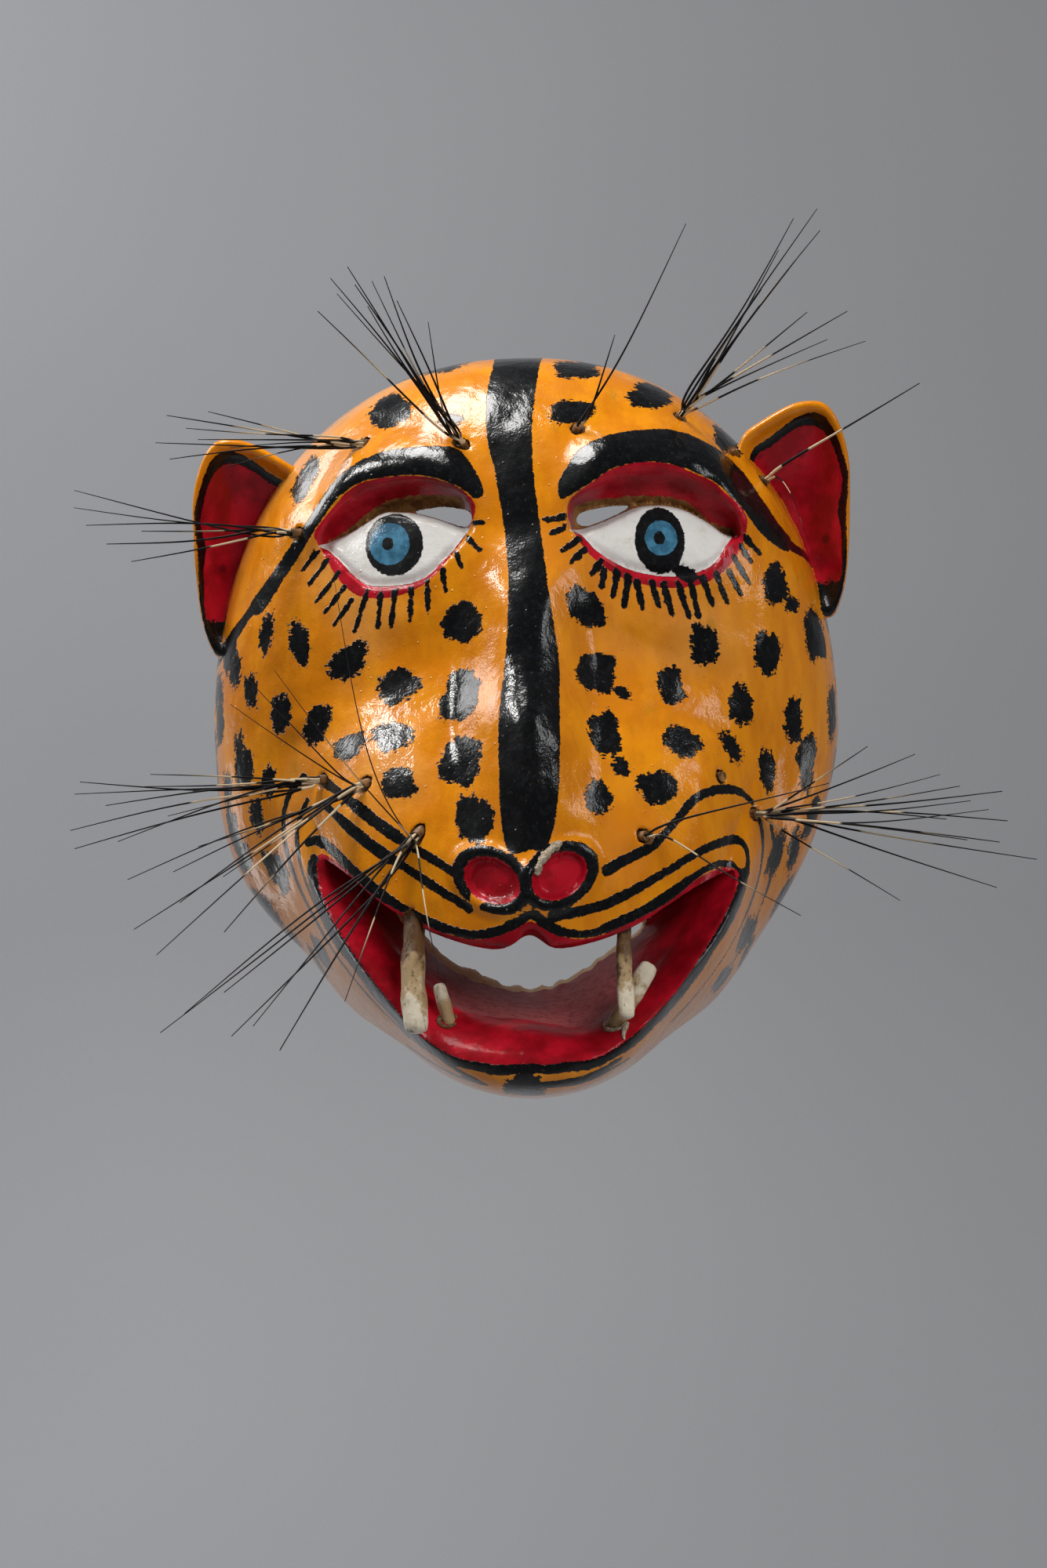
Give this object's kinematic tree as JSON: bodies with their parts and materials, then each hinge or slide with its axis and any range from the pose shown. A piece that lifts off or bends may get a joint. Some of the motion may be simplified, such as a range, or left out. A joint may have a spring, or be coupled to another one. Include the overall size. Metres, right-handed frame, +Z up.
{
  "type": "folk art face mask",
  "caption": "Hollow carved and painted wooden spotted cat face mask with bristle whiskers, real-tooth fangs and an open mouth.",
  "frame": {"origin": "middle of the flat back rim, where the wearer's face sits (mount face_seat)", "axes": "+Z up, -Y out of the face towards the viewer, +X to the right of the mask as it is looked at"},
  "size_m": [0.3181, 0.1718, 0.2947],
  "materials": {
    "painted_wood": "gloss enamel paint over carved wood, raw wood inside",
    "tooth": "worn, stained animal tooth",
    "plug_wood": "raw, dirty",
    "bristle": "satin animal hair, banded pale and black",
    "dried_glue": "dull, granular"
  },
  "bodies": {
    "root": {"mask_shell": "painted_wood", "upper_left_fang": "tooth", "upper_right_fang": "tooth", "lower_left_fang": "tooth", "lower_right_fang": "tooth", "left_brow_plug": "plug_wood", "left_forehead_plug": "plug_wood", "left_temple_plug": "plug_wood", "left_muzzle_back_plug": "plug_wood", "left_muzzle_middle_plug": "plug_wood", "left_muzzle_front_plug": "plug_wood", "right_brow_plug": "plug_wood", "right_forehead_plug": "plug_wood", "right_temple_plug": "plug_wood", "right_muzzle_back_plug": "plug_wood", "right_muzzle_middle_plug": "plug_wood", "right_muzzle_front_plug": "plug_wood", "left_brow_bristles": "bristle", "left_forehead_bristles": "bristle", "left_temple_bristles": "bristle", "left_muzzle_back_bristles": "bristle", "left_muzzle_middle_bristles": "bristle", "left_muzzle_front_bristles": "bristle", "right_brow_bristles": "bristle", "right_forehead_bristles": "bristle", "right_temple_bristles": "bristle", "right_muzzle_back_bristles": "bristle", "right_muzzle_front_bristles": "bristle", "nostril_glue_strip": "dried_glue", "lower_left_fang_glue": "dried_glue", "lower_right_fang_glue": "dried_glue"}
  },
  "joints": []
}
